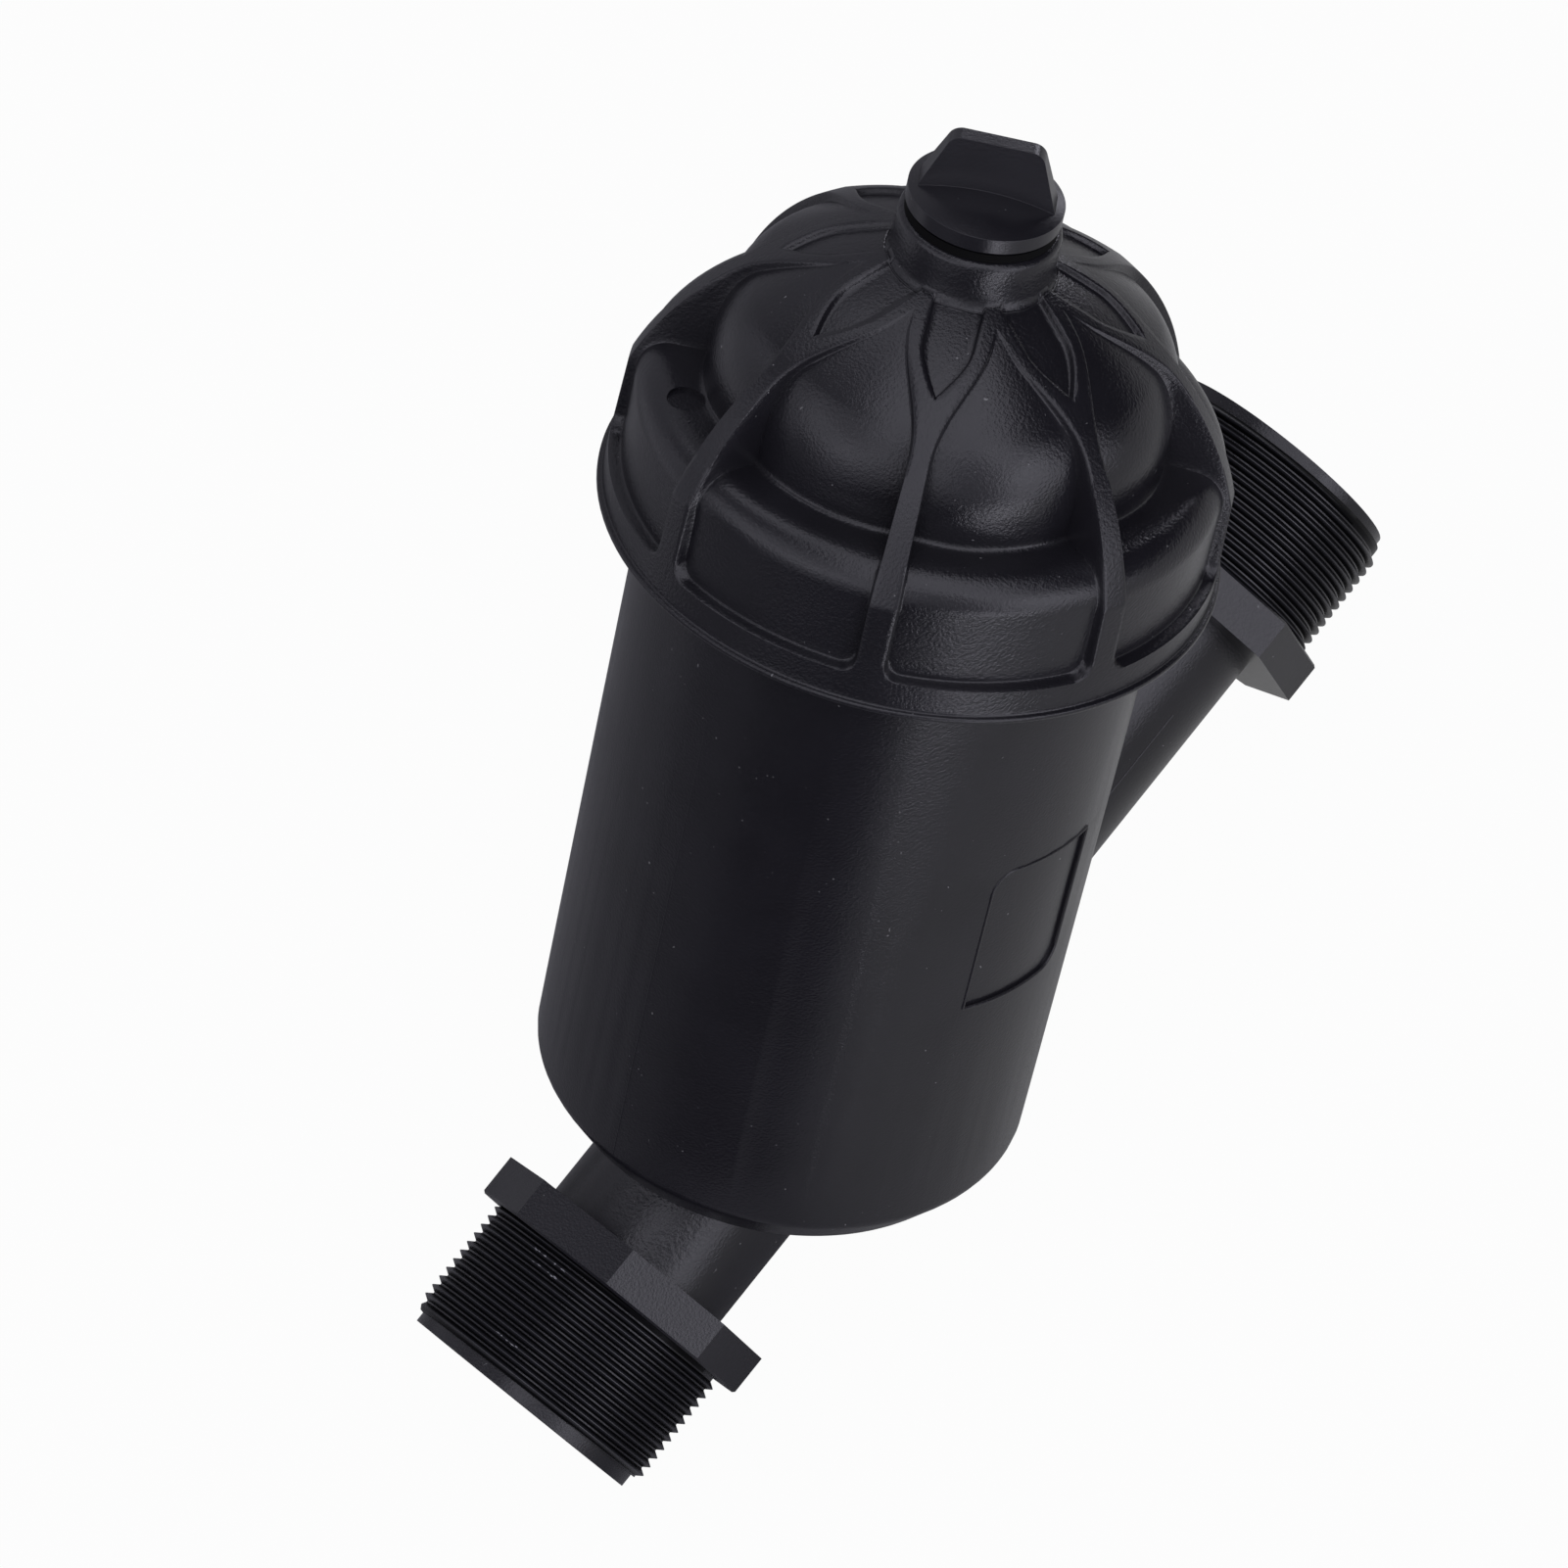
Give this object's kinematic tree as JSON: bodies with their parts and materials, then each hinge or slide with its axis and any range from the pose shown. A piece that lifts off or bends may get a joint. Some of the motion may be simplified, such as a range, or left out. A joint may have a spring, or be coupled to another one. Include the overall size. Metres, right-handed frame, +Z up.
{
  "type": "irrigation disc filter",
  "caption": "Black plastic in-line irrigation disc filter: threaded run pipe with a leaning canister, ribbed screw lid and winged vent plug, holding a stack of grooved discs.",
  "frame": {"origin": "middle of the run pipe, on its axis", "axes": "+X along the run pipe towards the inlet end, +Z up on the canister's side, canister leaning 50 degrees up from +X in the XZ plane"},
  "size_m": [0.256, 0.1254, 0.223],
  "materials": {
    "housing_plastic": "satin black with a fine moulded grain",
    "lid_plastic": "satin black with a fine moulded grain",
    "plug_plastic": "smooth satin black",
    "seal_rubber": "black rubber",
    "cartridge_plastic": "satin black",
    "disc_plastic": "satin red",
    "washer_steel": "bright"
  },
  "bodies": {
    "housing": {"filter_housing": "housing_plastic", "cartridge_base": "cartridge_plastic", "base_seal": "seal_rubber", "cartridge_spine": "cartridge_plastic", "foot_disc_1": "disc_plastic", "foot_disc_2": "disc_plastic", "foot_disc_3": "disc_plastic", "disc_stack": "disc_plastic", "top_disc_1": "disc_plastic", "top_disc_2": "disc_plastic", "top_disc_3": "disc_plastic", "top_disc_4": "disc_plastic", "pressure_plate": "cartridge_plastic", "stud_gasket": "seal_rubber"},
    "lid_carriage": {"lid_seal": "seal_rubber"},
    "lid": {"filter_lid": "lid_plastic"},
    "plug_carriage": {"plug_gasket": "seal_rubber"},
    "plug": {"vent_plug": "plug_plastic"},
    "nut_carriage": {"nut_washer": "washer_steel"},
    "nut": {"cartridge_nut": "cartridge_plastic"}
  },
  "joints": [
    {"name": "lid_rise", "type": "slide", "parent": "housing", "child": "lid_carriage", "axis": [0.6428, 0, 0.766], "range_m": [0, 0.01501]},
    {"name": "lid_turn", "type": "hinge", "parent": "lid_carriage", "child": "lid", "pos_m": [-0.0427, 0, 0], "axis": [0.6428, 0, 0.766], "range_deg": [0, 1080]},
    {"name": "plug_rise", "type": "slide", "parent": "lid", "child": "plug_carriage", "axis": [0.6428, 0, 0.766], "range_m": [0, 0.00907]},
    {"name": "plug_turn", "type": "hinge", "parent": "plug_carriage", "child": "plug", "pos_m": [-0.0427, 0, 0], "axis": [0.6428, 0, 0.766], "range_deg": [0, 1801]},
    {"name": "nut_rise", "type": "slide", "parent": "housing", "child": "nut_carriage", "axis": [0.6428, 0, 0.766], "range_m": [0, 0.009]},
    {"name": "nut_turn", "type": "hinge", "parent": "nut_carriage", "child": "nut", "pos_m": [-0.0427, 0, 0], "axis": [0.6428, 0, 0.766], "range_deg": [0, 1081]}
  ],
  "couplings": [
    {"joint": "lid_rise", "follows": "lid_turn", "m_per_rad": 0.00079577},
    {"joint": "plug_turn", "follows": "plug_rise", "rad_per_m": 3463.7},
    {"joint": "nut_turn", "follows": "nut_rise", "rad_per_m": 2094.4}
  ]
}
